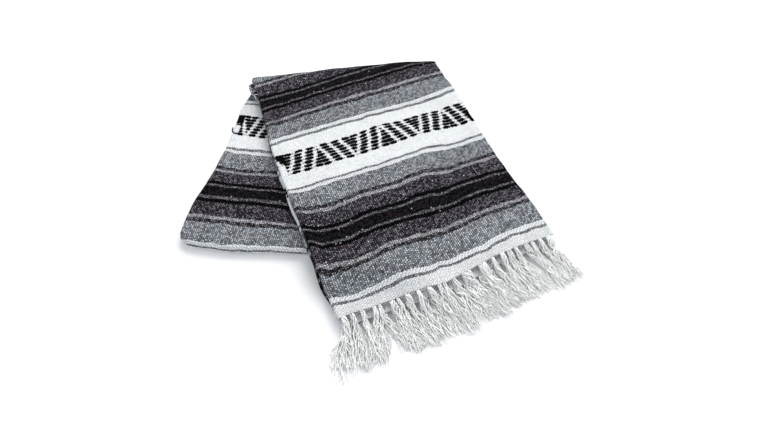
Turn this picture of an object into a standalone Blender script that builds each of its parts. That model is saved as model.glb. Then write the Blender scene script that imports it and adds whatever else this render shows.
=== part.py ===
# Folded mexican blanket, a striped throw with fringed ends
#
# The blanket is folded in four along its length and doubled end to end, which gives a strip of
# eight plies. The strip is turned over on a slanted line, so that it lies in a V: the back leg
# is flat on the floor and the front leg crosses over it, with both fringed hems in front.
#
# A point of the strip has two flat sizes. "across" runs from the left edge to the right edge,
# and "along" runs from the front hem to the turn-over, or from the turn-over down the back leg.
# Metres, +Z up, X along the turn-over line, and the origin under the middle of the whole.

import math

import bmesh
import bpy
from mathutils import Vector

# The folded strip
WIDTH = 0.320
SLANT = math.radians(15.3)
FRONT_LENGTH = 0.425
BACK_LENGTH = 0.376
PLY = 0.0022
STACK = 0.0172
ROLL_RADIUS = 0.0240
ROLL_HOLLOW = 0.0012

# Clearances between pieces, and between the two legs
PIECE_GAP = 0.0006
LEG_GAP = 0.0010

# Where the plies puff up towards the turn-over
PUFF_REACH = 0.120
HOLLOW_REACH = 0.030
BRIDGE_REACH = 0.240

# The turn-over bows away from the front
BOW_REACH = 0.090

# How the front leg comes down from the back leg to the floor
RAMP_START = 0.006
SIDE_RAMP = 0.052
END_RAMP = 0.045

# The outer ply turns down over the left edge of both legs
WRAP_DEPTH = 0.0082
WRAP_ROUND = 0.0030
WRAP_STEPS = 3
WRAP_SHARE = 0.55
EDGE_TUCK = 0.0004
EDGE_DROP = 0.0006
WALL_TO_FLOOR = math.radians(8)

# The second hem lies under the first and stands out in front of it
LOWER_HEM_OUT = 0.010
LOWER_HEM_DEPTH = 0.0090
HEM_STEP = 0.0003
HEM_LAYERING = 0.6
LOWER_SHARE = 0.6
HEM_GAP = 0.0006

# The end of the back leg
END_ROUND = STACK / 2
END_CORNER = 0.026
END_CORNER_CUT = 0.012
END_CLEAR = 0.0016

# Shares of the back leg where its outer ply starts and, nearer the crease, the layers under it
WALL_CREASE = 0.030
LAYER_CREASE = 0.018

# Sampling, shared by each wall and the layers under it
COLUMNS = 12
FIRST_COLUMN = 0.012
LAST_COLUMN = 0.006
FRONT_ROWS = 17
ROLL_ROWS = 8
BACK_ROWS = 12
END_ROWS = 5

# Fringe
TASSELS = 25
UPPER_STRANDS = 3
LOWER_STRANDS = 2
TASSEL_SHARE = 0.72
STRAND_SHARE = 0.76
TAPER = 0.10
SWAY = 0.0014
TASSEL_BEAT = 2.4
STRAND_BEAT = 0.5
STRIP_WIDTH = 0.0016
STRIP_THICK = 0.0016
FRINGE_LENGTH = 0.085
UPPER_REACH = 0.80 * FRINGE_LENGTH
LOWER_REACH = 0.68 * FRINGE_LENGTH
UPPER_THICK = 0.0018
LOWER_THICK = 0.0014
UPPER_REST = 0.0036
LOWER_REST = 0.0013
UPPER_TOP = 0.0004
LOWER_TOP = 0.0120

# Front leg: the plies have slipped, so that its stripes and edges aren't quite square
FRONT_SLIP = (
    # along, forward at the left, in the middle, at the right, left edge, right edge, lower left edge
    (0.000, 0.012, 0.015, 0.000, -0.006, 0.002, -0.004),
    (0.030, 0.013, 0.016, -0.002, -0.007, 0.003, -0.005),
    (0.060, 0.014, 0.012, -0.005, -0.008, 0.004, -0.005),
    (0.120, 0.007, 0.004, -0.006, -0.008, 0.004, -0.004),
    (0.240, 0.006, 0.003, -0.006, -0.008, 0.003, -0.003),
    (0.310, 0.005, 0.001, -0.002, -0.006, 0.001, -0.002),
    (0.360, 0.001, -0.004, 0.001, -0.003, 0.000, -0.001),
    (0.425, 0.000, 0.000, 0.000, 0.000, 0.000, 0.000),
)
SLIP_MIDDLE = 0.130
SLIP_RIGHT = 0.260

# The turn-over: each row is a place on it and how far it bows to the rear
TURN_BOW = (
    # across, rearward
    (0.000, -0.002),
    (0.100, 0.003),
    (0.200, 0.006),
    (0.290, 0.009),
    (0.320, 0.006),
)

# Back leg: how far its edges have slipped, and the slanted line of its end
BACK_SLIP = (
    # share of the leg from the turn-over to its end, left edge, right edge
    (0.00, 0.000, 0.000),
    (0.15, -0.003, -0.010),
    (0.40, 0.000, -0.012),
    (0.60, -0.003, -0.012),
    (0.85, -0.010, -0.012),
    (1.00, -0.007, -0.012),
)
BACK_RIGHT_IN = 0.012
END_SLANT = (
    # across, how much shorter the leg is there
    (0.000, 0.000),
    (0.080, 0.000),
    (0.180, 0.012),
    (0.320, 0.016),
)

# The folded edges: each row is a share of the stack's thickness and how far the edge is set in
FOLD_EDGE = (
    # share of the thickness, inset
    (0.000, 0.0030),
    (0.045, 0.0012),
    (0.130, 0.0003),
    (0.250, 0.0016),
    (0.370, 0.0003),
    (0.500, 0.0034),
    (0.630, 0.0003),
    (0.750, 0.0016),
    (0.870, 0.0003),
    (0.955, 0.0012),
    (1.000, 0.0030),
)

# Fringe direction: each row is a place on the hem and the yarns' angle to the hem's normal
FRINGE_SPLAY = (
    # across, angle in degrees
    (0.000, -24.0),
    (0.050, -12.0),
    (0.140, 6.0),
    (0.240, 10.0),
    (0.320, 16.0),
)

# How the yarns fall from each hem to the floor
UPPER_FALL = (
    # share of the length, share of the height left
    (0.16, 0.74),
    (0.36, 0.10),
    (0.66, 0.00),
    (1.00, 0.00),
)
LOWER_FALL = (
    # share of the length, share of the height left
    (0.05, 0.80),
    (0.14, 0.12),
    (0.50, 0.00),
    (1.00, 0.00),
)

COLOURS = {
    # node: red, green, blue of its material
    "front_cloth": (0.230, 0.225, 0.235),
    "back_cloth": (0.120, 0.115, 0.125),
    "inner_layers": (0.520, 0.525, 0.540),
    "fringe_upper": (0.780, 0.775, 0.765),
    "fringe_lower": (0.600, 0.600, 0.600),
}


def smooth(share):
    """Rise from 0 to 1 with level ends."""
    share = min(max(share, 0.0), 1.0)
    return share * share * (3 - 2 * share)


def read_table(rows, key, column=1):
    """Read one column of a table at a key, straight between its rows."""
    if key <= rows[0][0]:
        return rows[0][column]
    for low, high in zip(rows, rows[1:]):
        if key <= high[0]:
            share = (key - low[0]) / (high[0] - low[0])
            return low[column] + share * (high[column] - low[column])
    return rows[-1][column]


# The strip's shape

def stack_thickness(behind):
    """Thickness of the eight plies at a distance in front of the turn-over."""
    puff = ROLL_RADIUS - ROLL_HOLLOW - STACK
    return STACK + puff * (1 - smooth(behind / PUFF_REACH))


def back_share(x, y):
    """How far a floor point counts as lying over the back leg, from 0 to 1."""
    across = x * math.cos(SLANT) - y * math.sin(SLANT) + WIDTH / 2
    along = -x * math.sin(SLANT) - y * math.cos(SLANT)
    beside = smooth((across - WIDTH + BACK_RIGHT_IN - RAMP_START) / SIDE_RAMP)
    past = smooth((along - BACK_LENGTH - RAMP_START) / END_RAMP)
    return (1 - beside) * (1 - past)


def turn_bow(across, behind):
    """How far a point is carried to the rear by the bow of the turn-over."""
    return read_table(TURN_BOW, across) * (1 - smooth(behind / BOW_REACH))


def front_top(x, y, behind):
    """Height of the front leg's top ply over a floor point."""
    hollow = LEG_GAP + (2 * ROLL_HOLLOW - LEG_GAP) * (1 - smooth(behind / HOLLOW_REACH))
    over_leg = 2 * stack_thickness(behind) + hollow
    over_floor = STACK + (2 * ROLL_RADIUS - STACK) * (1 - smooth(behind / BRIDGE_REACH))
    share = back_share(x, y)
    return share * over_leg + (1 - share) * over_floor


def front_length(across):
    """Length of the front leg from its hem to the turn-over."""
    return FRONT_LENGTH - (across - WIDTH / 2) * math.tan(SLANT)


def front_point(across, share, depth, out=0.0):
    """A point of the front leg, from the hem at share 0 to the turn-over at share 1."""
    centred = across - WIDTH / 2
    along = share * front_length(across) - out
    place = max(along, 0.0)
    left_slip, middle_slip, right_slip = [read_table(FRONT_SLIP, place, column) for column in (1, 2, 3)]
    forward = left_slip + (middle_slip - left_slip) * smooth(across / SLIP_MIDDLE)
    forward += (right_slip - middle_slip) * smooth((across - SLIP_MIDDLE) / (SLIP_RIGHT - SLIP_MIDDLE))
    left = read_table(FRONT_SLIP, place, 4) * (1 - across / WIDTH)
    right = read_table(FRONT_SLIP, place, 5) * across / WIDTH
    sideways = centred + left + right
    lengthways = along - FRONT_LENGTH - forward
    x = sideways * math.cos(SLANT) - lengthways * math.sin(SLANT)
    y = sideways * math.sin(SLANT) + lengthways * math.cos(SLANT)
    behind = max(-y, 0.0)
    return Vector((x, y + turn_bow(across, behind), front_top(x, y, behind) - depth))


def roll_point(across, angle, depth):
    """A point of the turn-over. The angle is 0 on top and pi on the floor."""
    radius = ROLL_RADIUS - depth
    x = (across - WIDTH / 2) / math.cos(SLANT)
    y = radius * math.sin(angle) + turn_bow(across, 0.0)
    return Vector((x, y, ROLL_RADIUS + radius * math.cos(angle)))


def back_end(across):
    """Length of the back leg along its end's slanted line, with a round left corner."""
    corner = max(0.0, 1 - across / END_CORNER)
    return BACK_LENGTH - read_table(END_SLANT, across) - END_CORNER_CUT * corner * corner


def back_point(across, share, height, out=0.0):
    """A point of the back leg, from the turn-over at share 0 to where its end rounds off."""
    centred = across - WIDTH / 2
    start = -centred * math.tan(SLANT)
    straight = back_end(across) - END_ROUND
    along = start + share * (straight - start) + out
    left = read_table(BACK_SLIP, share, 1) * (1 - across / WIDTH)
    right = read_table(BACK_SLIP, share, 2) * across / WIDTH
    sideways = centred + left + right
    x = sideways * math.cos(SLANT) - along * math.sin(SLANT)
    y = -sideways * math.sin(SLANT) - along * math.cos(SLANT)
    return Vector((x, y + turn_bow(across, max(-y, 0.0)), height))


# Building blocks

def new_object(name, bm):
    """Make a named object with its own material from a bmesh."""
    bmesh.ops.recalc_face_normals(bm, faces=bm.faces)
    mesh = bpy.data.meshes.new(name)
    bm.to_mesh(mesh)
    bm.free()
    red, green, blue = COLOURS[name]
    material = bpy.data.materials.new(name)
    material.use_nodes = True
    shader = material.node_tree.nodes["Principled BSDF"]
    shader.inputs["Base Color"].default_value = (red, green, blue, 1)
    shader.inputs["Roughness"].default_value = 0.9
    shader.inputs["Metallic"].default_value = 0.0
    mesh.materials.append(material)
    mesh.shade_smooth()
    mesh.set_sharp_from_angle(angle=math.radians(50))
    thing = bpy.data.objects.new(name, mesh)
    collection.objects.link(thing)
    return thing


def sheet_of_points(name, grid):
    """Make a wall of cloth: an open sheet through a grid of points, made solid inwards."""
    bm = bmesh.new()
    corners = [[bm.verts.new(point) for point in row] for row in grid]
    for low, high in zip(corners, corners[1:]):
        for i in range(len(low) - 1):
            bm.faces.new((low[i], low[i + 1], high[i + 1]))
            bm.faces.new((low[i], high[i + 1], high[i]))
    thing = new_object(name, bm)
    solid = thing.modifiers.new("Ply", "SOLIDIFY")
    solid.thickness = PLY
    solid.offset = -1
    solid.use_even_offset = True
    return thing


def block_of_points(name, point, rows, columns, layers):
    """Make a closed block whose surface points come from point(row, column, layer)."""
    bm = bmesh.new()
    corners = {}

    def corner(row, column, layer):
        key = (row, column, layer)
        if key not in corners:
            corners[key] = bm.verts.new(point(row, column, layer))
        return corners[key]

    def panel(first, second, place):
        for i in range(first):
            for j in range(second):
                near, far = corner(*place(i, j)), corner(*place(i + 1, j + 1))
                bm.faces.new((near, corner(*place(i + 1, j)), far))
                bm.faces.new((near, far, corner(*place(i, j + 1))))

    for layer in (0, layers):
        panel(rows, columns, lambda i, j: (i, j, layer))
    for column in (0, columns):
        panel(rows, layers, lambda i, j: (i, column, j))
    for row in (0, rows):
        panel(columns, layers, lambda i, j: (row, i, j))
    return new_object(name, bm)


# Outer ply over the front leg and round the turn-over

def column_places():
    """Places across the strip where walls and layers are both sampled."""
    run = WIDTH - FIRST_COLUMN - LAST_COLUMN
    return [FIRST_COLUMN + run * i / COLUMNS for i in range(COLUMNS + 1)]


def wall_section():
    """The outer ply from its turned-down left edge to the right edge, as across and depth."""
    section = [(EDGE_TUCK, WRAP_DEPTH), (0.0, (WRAP_DEPTH + WRAP_ROUND) / 2)]
    for i in range(WRAP_STEPS + 1):
        angle = math.pi / 2 * i / WRAP_STEPS
        section.append((WRAP_ROUND * (1 - math.cos(angle)), WRAP_ROUND * (1 - math.sin(angle))))
    section.append((WRAP_ROUND + PLY + PIECE_GAP, 0.0))
    section += [(across, 0.0) for across in column_places()]
    section.append((WIDTH - EDGE_TUCK, EDGE_DROP))
    return section


def make_front_cloth():
    section = wall_section()
    grid = []
    for i in range(FRONT_ROWS):
        share = i / FRONT_ROWS
        grid.append([front_point(across, share, depth) for across, depth in section])
    for i in range(ROLL_ROWS + 1):
        angle = (math.pi - WALL_TO_FLOOR) * i / ROLL_ROWS
        grid.append([roll_point(across, angle, depth) for across, depth in section])
    return sheet_of_points("front_cloth", grid)


# Outer ply over the back leg and round its end

def back_height(across, share):
    """Height of the back leg's top ply."""
    centred = across - WIDTH / 2
    start = -centred * math.tan(SLANT)
    straight = back_end(across) - END_ROUND
    return stack_thickness(share * (straight - start) * math.cos(SLANT))


def make_back_cloth():
    section = wall_section()
    grid = []
    for share in [WALL_CREASE] + [i / BACK_ROWS for i in range(1, BACK_ROWS + 1)]:
        row = [back_point(across, share, back_height(across, share) - depth) for across, depth in section]
        grid.append(row)
    turn = math.pi - 2 * WALL_TO_FLOOR
    for i in range(1, END_ROWS + 1):
        angle = turn * i / END_ROWS
        row = []
        for across, depth in section:
            radius = END_ROUND - depth
            out = radius * math.sin(angle)
            row.append(back_point(across, 1.0, END_ROUND + radius * math.cos(angle), out))
        grid.append(row)
    return sheet_of_points("back_cloth", grid)


# The hidden plies of both legs, as one rounded solid with layered edges

def layer_stations():
    """Each station: which stretch it is in, its place there and the depth of its outer side."""
    under_wall = PLY + PIECE_GAP
    stations = [("hem", LOWER_HEM_OUT, LOWER_HEM_DEPTH), ("hem", 0.0, LOWER_HEM_DEPTH)]
    stations += [("hem", -HEM_STEP, under_wall)]
    stations += [("front", i / FRONT_ROWS, under_wall) for i in range(1, FRONT_ROWS)]
    stations += [("roll", math.pi * i / ROLL_ROWS * (1 - WALL_TO_FLOOR / math.pi), under_wall)
                 for i in range(ROLL_ROWS + 1)]
    stations += [("roll", math.pi, under_wall)]
    stations += [("back", LAYER_CREASE, 0.0)]
    stations += [("back", i / BACK_ROWS, 0.0) for i in range(1, BACK_ROWS + 1)]
    return stations


def layer_span(station, across):
    """Outer and inner depth of the hidden plies at a station."""
    stretch, place, outer = station
    if stretch == "hem":
        return outer, STACK
    if stretch == "front":
        return outer, stack_thickness((1 - place) * front_length(across) * math.cos(SLANT))
    if stretch == "roll":
        return outer, ROLL_RADIUS - ROLL_HOLLOW
    return outer, back_height(across, place) - PLY - PIECE_GAP


def lower_edge_slip(station):
    """How far the lower plies stand out beyond the left edge of the front leg."""
    stretch, place, _ = station
    if stretch == "hem":
        return read_table(FRONT_SLIP, 0.0, 6)
    if stretch == "front":
        return read_table(FRONT_SLIP, place * FRONT_LENGTH, 6)
    return 0.0


def layer_point(station, across, depth, out=0.0):
    """A point of the hidden plies, at a station and a depth from the strip's outer side."""
    stretch, place, _ = station
    if stretch == "hem":
        return front_point(across, 0.0, depth, place + out)
    if stretch == "front":
        return front_point(across, place, depth)
    if stretch == "roll":
        return roll_point(across, place, depth)
    return back_point(across, place, depth, out)


def make_inner_layers():
    stations = layer_stations()
    places = column_places()
    last_station = len(stations) - 1
    last_layer = len(FOLD_EDGE) - 1
    last_column = len(places) + 1
    under_wrap = PLY + PIECE_GAP

    def point(row, column, layer):
        station = stations[row]
        share, inset = FOLD_EDGE[layer]
        if column == 0:
            turned_down = share > 1 - WRAP_SHARE if station[0] == "back" else share < WRAP_SHARE
            if row == last_station:
                across = inset + 2 * under_wrap
            elif row == last_station - 1 or (turned_down and row > 0):
                across = inset + under_wrap
            else:
                across = inset + lower_edge_slip(station) * smooth(share / LOWER_SHARE)
        elif column == last_column:
            across = WIDTH - inset
        else:
            across = places[column - 1]
        outer, inner = layer_span(station, across)
        depth = outer + share * (inner - outer)
        out = 0.0
        if row == 0:
            out = -HEM_LAYERING * inset
        if row == last_station:
            reach = END_ROUND - PLY - END_CLEAR
            rise = (depth - END_ROUND) / reach
            out = reach * math.sqrt(max(0.0, 1 - rise * rise))
        return layer_point(station, across, depth, out)

    return block_of_points("inner_layers", point, last_station, last_column, last_layer)


# Fringe: yarns that grow out of a narrow strip just clear of each hem

def strand_path(across, out, drop, rest, splay, sway, length, fall):
    """Centre points of one strand, from its root in the strip to its end on the floor."""
    start = front_point(across, 0.0, drop, out)
    floor_rise = start.z - rest
    points = [start]
    for share, left in fall:
        reach = share * length
        aside = reach * math.tan(splay) + sway * math.sin(math.pi * share)
        place = front_point(across, 0.0, 0.0, out + reach)
        sideways = Vector((math.cos(SLANT), math.sin(SLANT), 0))
        place += sideways * aside
        place.z = rest + floor_rise * left
        points.append(place)
    return points


def grow_strand(bm, root, path, width, thick):
    """Draw one four-sided strand out of a strip's root corners, along a path."""
    sideways = Vector((math.cos(SLANT), math.sin(SLANT), 0))
    ring = root
    for step in range(1, len(path)):
        run = (path[step] - path[step - 1]).normalized()
        lift = run.cross(sideways).normalized()
        across = sideways * width / 2 * (1 - TAPER * step)
        up = lift * thick / 2 * (1 - TAPER * step)
        corners = (up - across, up + across, across - up, -across - up)
        after = [bm.verts.new(path[step] + corner) for corner in corners]
        for i in range(4):
            k = (i + 1) % 4
            bm.faces.new((ring[i], ring[k], after[k], after[i]))
        ring = after
    bm.faces.new(ring)


def make_fringe(name, strands, out, top, rest, thick, length, fall):
    """A strip with strands drawn out of its front, one quad of it for each root."""
    bm = bmesh.new()
    pitch = WIDTH / TASSELS
    cell = pitch * TASSEL_SHARE / strands
    width = cell * STRAND_SHARE
    lefts = [(tassel + (1 - TASSEL_SHARE) / 2) * pitch + strand * cell
             for tassel in range(TASSELS) for strand in range(strands)]
    inner = out + HEM_GAP
    outer = inner + STRIP_WIDTH
    corners = ((outer, top), (outer, top + STRIP_THICK), (inner, top + STRIP_THICK), (inner, top))
    rings = []
    for left in lefts:
        for across in (left, left + width):
            rings.append([bm.verts.new(front_point(across, 0.0, depth, far)) for far, depth in corners])
    for i, (low, high) in enumerate(zip(rings, rings[1:])):
        is_root = i % 2 == 0
        for j in range(1 if is_root else 0, 4):
            k = (j + 1) % 4
            bm.faces.new((low[j], high[j], high[k], low[k]))
        if is_root:
            middle = lefts[i // 2] + width / 2
            tassel, strand = divmod(i // 2, strands)
            splay = math.radians(read_table(FRINGE_SPLAY, middle))
            sway = SWAY * math.sin(TASSEL_BEAT * tassel + STRAND_BEAT * strand)
            path = strand_path(middle, outer, top + STRIP_THICK / 2, rest, splay, sway, length, fall)
            grow_strand(bm, (low[0], high[0], high[1], low[1]), path, width, thick)
    bm.faces.new(rings[0])
    bm.faces.new(rings[-1])
    return new_object(name, bm)


def stand_on_middle(things):
    """Move the finished meshes so that the origin is under the middle of the whole."""
    bpy.context.view_layer.update()
    depsgraph = bpy.context.evaluated_depsgraph_get()
    points = [Vector(corner) for thing in things for corner in thing.evaluated_get(depsgraph).bound_box]
    middle_x = (min(p.x for p in points) + max(p.x for p in points)) / 2
    middle_y = (min(p.y for p in points) + max(p.y for p in points)) / 2
    for thing in things:
        for vert in thing.data.vertices:
            vert.co.x -= middle_x
            vert.co.y -= middle_y


for thing in list(bpy.data.objects):
    bpy.data.objects.remove(thing)
collection = bpy.data.collections.new("Folded blanket")
bpy.context.scene.collection.children.link(collection)

pieces = [make_front_cloth(), make_back_cloth(), make_inner_layers()]
pieces.append(make_fringe("fringe_upper", UPPER_STRANDS, 0.0, UPPER_TOP, UPPER_REST, UPPER_THICK,
                          UPPER_REACH, UPPER_FALL))
pieces.append(make_fringe("fringe_lower", LOWER_STRANDS, LOWER_HEM_OUT, LOWER_TOP, LOWER_REST, LOWER_THICK,
                          LOWER_REACH, LOWER_FALL))
stand_on_middle(pieces)
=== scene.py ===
# Folded mexican blanket: its woven plies, layered edges and fringes, on a plain pale floor
#
# The blanket is a strip of eight plies, turned over on a slanted line. A point of it has two flat
# sizes: "across" runs from the left edge to the right edge, and "along" runs from the front hem to
# the turn-over, or from the turn-over down the back leg. "Depth" goes in from the strip's top side.
# Metres, +Z up.

import math

import bpy
import numpy as np
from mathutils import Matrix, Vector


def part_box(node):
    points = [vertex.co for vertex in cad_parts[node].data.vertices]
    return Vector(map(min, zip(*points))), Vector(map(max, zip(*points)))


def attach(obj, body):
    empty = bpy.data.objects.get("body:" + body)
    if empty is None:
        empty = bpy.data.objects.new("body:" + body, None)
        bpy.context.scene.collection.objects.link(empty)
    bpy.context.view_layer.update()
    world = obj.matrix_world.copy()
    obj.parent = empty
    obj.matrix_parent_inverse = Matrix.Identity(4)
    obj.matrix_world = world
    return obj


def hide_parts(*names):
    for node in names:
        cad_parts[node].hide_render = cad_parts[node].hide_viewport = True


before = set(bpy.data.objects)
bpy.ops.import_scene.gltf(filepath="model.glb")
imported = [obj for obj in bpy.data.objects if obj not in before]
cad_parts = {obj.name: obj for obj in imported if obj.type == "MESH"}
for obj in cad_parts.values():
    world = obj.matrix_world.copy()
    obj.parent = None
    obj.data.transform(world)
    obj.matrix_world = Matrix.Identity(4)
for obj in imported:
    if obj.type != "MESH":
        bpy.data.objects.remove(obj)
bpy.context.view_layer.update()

# The folded strip
WIDTH = 0.320
SLANT = math.radians(15.3)
COS, SIN, TAN = math.cos(SLANT), math.sin(SLANT), math.tan(SLANT)
FRONT_LENGTH = 0.425
BACK_LENGTH = 0.376
PLIES = 8
STACK = 0.0172
PLY = STACK / PLIES
ROLL_RADIUS = 0.0240
ROLL_HOLLOW = 0.0012
LEG_GAP = 0.0010
PUFF_REACH = 0.120
HOLLOW_REACH = 0.030
BRIDGE_REACH = 0.240
BOW_REACH = 0.090
RAMP_START = 0.006
SIDE_RAMP = 0.052
END_RAMP = 0.045
ROLL_LENGTH = math.pi * ROLL_RADIUS / COS
END_ROUND = STACK / 2
END_CORNER = 0.026
END_CORNER_CUT = 0.012
LOWER_HEM_OUT = 0.010
SLIP_MIDDLE = 0.130
SLIP_RIGHT = 0.260
BACK_RIGHT_IN = 0.012
PACKED_BOW = 0.009
RIDGE_RISE = 0.050
RIDGE_DROP = 0.022
RIDGE_REACH = 0.150
FLOOR_CLEAR = 0.0002

FRONT_SLIP = np.array((
    # along, forward at the left, in the middle, at the right, left edge, right edge, lower left edge
    (0.0, 0.012, 0.015, 0.0, -0.006, 0.002, 0.001),
    (0.03, 0.013, 0.016, -0.002, -0.007, 0.004, -0.001),
    (0.06, 0.014, 0.012, -0.005, -0.008, 0.0055, -0.003),
    (0.12, 0.007, 0.004, -0.006, -0.008, 0.0058, -0.004),
    (0.24, 0.006, 0.003, -0.006, -0.008, 0.0046, -0.003),
    (0.31, 0.005, 0.001, -0.002, -0.006, 0.002, -0.002),
    (0.36, 0.001, -0.004, 0.001, -0.001, 0.0, -0.001),
    (0.425, 0.0, 0.0, 0.0, 0.005, 0.0, 0.0),
))
TURN_BOW = np.array((
    # across, rearward
    (0.0, -0.003),
    (0.06, -0.001),
    (0.12, 0.004),
    (0.2, 0.0085),
    (0.27, 0.0115),
    (0.32, 0.005),
))
BACK_SLIP = np.array((
    # share of the leg from the turn-over to its end, left edge, right edge
    (0.0, 0.0, 0.0),
    (0.15, -0.0045, -0.01),
    (0.3, -0.003, -0.012),
    (0.4, -0.001, -0.012),
    (0.6, -0.003, -0.012),
    (0.85, -0.011, -0.012),
    (1.0, -0.009, -0.012),
))
END_SLANT = np.array((
    # across, how much shorter the leg is there
    (0.0, 0.0),
    (0.08, 0.0),
    (0.18, 0.012),
    (0.32, 0.016),
))

# Main creases: soft troughs and ridges, each from one place to another on its leg
FRONT_CREASES = (
    # across, along at one end, across, along at the other, half width, height
    (0.02, 0.075, 0.15, 0.03, 0.016, 0.0012),
    (0.15, 0.02, 0.235, 0.075, 0.014, -0.0011),
    (0.215, 0.11, 0.32, 0.15, 0.018, 0.001),
    (0.06, 0.205, 0.19, 0.18, 0.02, -0.0008),
    (0.04, 0.33, 0.15, 0.3, 0.016, 0.0009),
    (0.17, 0.33, 0.31, 0.285, 0.018, -0.0009),
    (0.1, 0.42, 0.29, 0.375, 0.014, 0.001),
    (0.01, 0.5, 0.16, 0.475, 0.014, -0.0009),
    (0.19, 0.44, 0.3, 0.41, 0.012, -0.0008),
)
BACK_CREASES = (
    # across, along at one end, across, along at the other, half width, height
    (0.0, 0.225, 0.11, 0.205, 0.016, -0.0009),
    (0.03, 0.33, 0.17, 0.3, 0.014, 0.0009),
    (0.01, 0.12, 0.08, 0.15, 0.012, 0.0008),
    (0.15, 0.26, 0.29, 0.24, 0.016, -0.0009),
    (0.2, 0.14, 0.3, 0.17, 0.014, 0.0009),
)

# Stripes. The pattern is the same on both sides of its black band's middle, and of its white one's
HALF_REPEAT = 0.1455
FRONT_STRIPES = np.array((
    # along the front leg, place in the pattern
    (-0.012, -0.122),
    (0.0, -0.11),
    (0.014, -0.096),
    (0.027, -0.084),
    (0.06, -0.054),
    (0.114, 0.0),
    (0.2605, HALF_REPEAT),
    (0.405, 2 * HALF_REPEAT),
    (0.5495, 3 * HALF_REPEAT),
))
BACK_STRIPES = np.array((
    # along the back leg, place in the pattern
    (-0.018, 0.0),
    (0.1295, HALF_REPEAT),
    (0.277, 2 * HALF_REPEAT),
    (0.3705, 2 * HALF_REPEAT + 0.084),
    (0.3905, 2 * HALF_REPEAT + 0.104),
))
BACK_SHIFT = 1.0
FRONT_BENDS = (
    # across, along, half width across, half width along, how far the stripes are bent along
    (0.0, 0.11, 0.011, 0.095, 0.009),
    (0.05, 0.128, 0.034, 0.046, -0.0085),
    (0.14, 0.128, 0.05, 0.036, -0.007),
    (0.212, 0.188, 0.05, 0.034, -0.002),
    (0.052, 0.06, 0.026, 0.02, -0.006),
    (0.17, 0.064, 0.024, 0.016, 0.0035),
    (0.148, 0.02, 0.018, 0.016, 0.0058),
    (0.222, 0.02, 0.022, 0.018, -0.0034),
    (0.168, 0.28, 0.022, 0.036, 0.0042),
    (0.262, 0.296, 0.046, 0.034, -0.0036),
    (0.095, 0.28, 0.028, 0.018, -0.0025),
    (0.23, 0.398, 0.09, 0.02, -0.0046),
    (0.11, 0.42, 0.11, 0.016, -0.0055),
)
BACK_BENDS = (
    # across, along, half width across, half width along, how far the stripes are bent along
    (0.05, 0.19, 0.06, 0.018, 0.003),
    (0.04, 0.232, 0.05, 0.016, 0.0062),
    (0.11, 0.29, 0.03, 0.03, -0.003),
)

# Kinds of waves: height, longest and shortest length, and how many are added up
WAVE_GAIN = 1.6
STRIPE_WAVES = (0.0010, 0.060, 0.018, 7)
FRONT_WAVES = (0.0005, 0.110, 0.034, 7)
BACK_WAVES = (0.0004, 0.100, 0.030, 7)
SELVEDGE_WAVES = (1.0, 0.110, 0.030, 5)
HEM_WAVES = (0.0009, 0.140, 0.026, 6)
LEFT_FOLD_WAVES = (0.0011, 0.150, 0.030, 4)
RIGHT_FOLD_WAVES = (0.0012, 0.150, 0.030, 4)


def smooth(share):
    """Rise from 0 to 1 with level ends."""
    share = np.clip(share, 0.0, 1.0)
    return share * share * (3 - 2 * share)


def read(table, key, column=1):
    """Read one column of a table at a key, straight between its rows."""
    return np.interp(key, table[:, 0], table[:, column])


def steps_of(start, reach, count):
    """Even steps along a reach, without its start."""
    return [start + reach * i / count for i in range(1, count + 1)]


def waves(size, a, b, seed):
    """Soft random waves over two flat sizes."""
    height, long, short, count = size
    random = np.random.default_rng(seed)
    total = 0.0
    for i in range(count):
        length = long * (short / long) ** (i / (count - 1))
        turn = random.uniform(0, math.tau)
        phase = random.uniform(0, math.tau)
        total += np.sin(math.tau * (a * math.cos(turn) + b * math.sin(turn)) / length + phase)
    return height * (total / count * WAVE_GAIN)


# The strip's shape

def stack_thickness(behind):
    """Thickness of the eight plies at a distance in front of the turn-over."""
    puff = ROLL_RADIUS - ROLL_HOLLOW - STACK
    return STACK + puff * (1 - smooth(behind / PUFF_REACH))


def back_share(x, y):
    """How far a floor point counts as lying over the back leg, from 0 to 1."""
    across = x * COS - y * SIN + WIDTH / 2
    along = -x * SIN - y * COS
    beside = smooth((across - WIDTH + BACK_RIGHT_IN - RAMP_START) / SIDE_RAMP)
    past = smooth((along - BACK_LENGTH - RAMP_START) / END_RAMP)
    return (1 - beside) * (1 - past)


def turn_bow(across, behind):
    """How far a point is carried to the rear by the bow of the turn-over."""
    return read(TURN_BOW, across) * (1 - smooth(behind / BOW_REACH))


def ridge_tilt(across, behind):
    """How much taller the fold stands near the turn-over: more at its right end than at its left."""
    return 1 + (RIDGE_RISE * across / WIDTH - RIDGE_DROP) * (1 - smooth(behind / RIDGE_REACH))


def front_top(x, y, behind):
    """Height of the front leg's top ply over a floor point."""
    hollow = LEG_GAP + (2 * ROLL_HOLLOW - LEG_GAP) * (1 - smooth(behind / HOLLOW_REACH))
    over_leg = 2 * stack_thickness(behind) + hollow
    over_floor = STACK + (2 * ROLL_RADIUS - STACK) * (1 - smooth(behind / BRIDGE_REACH))
    share = back_share(x, y)
    return share * over_leg + (1 - share) * over_floor


def front_length(across):
    """Length of the front leg from its hem to the turn-over."""
    return FRONT_LENGTH - (across - WIDTH / 2) * TAN


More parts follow.
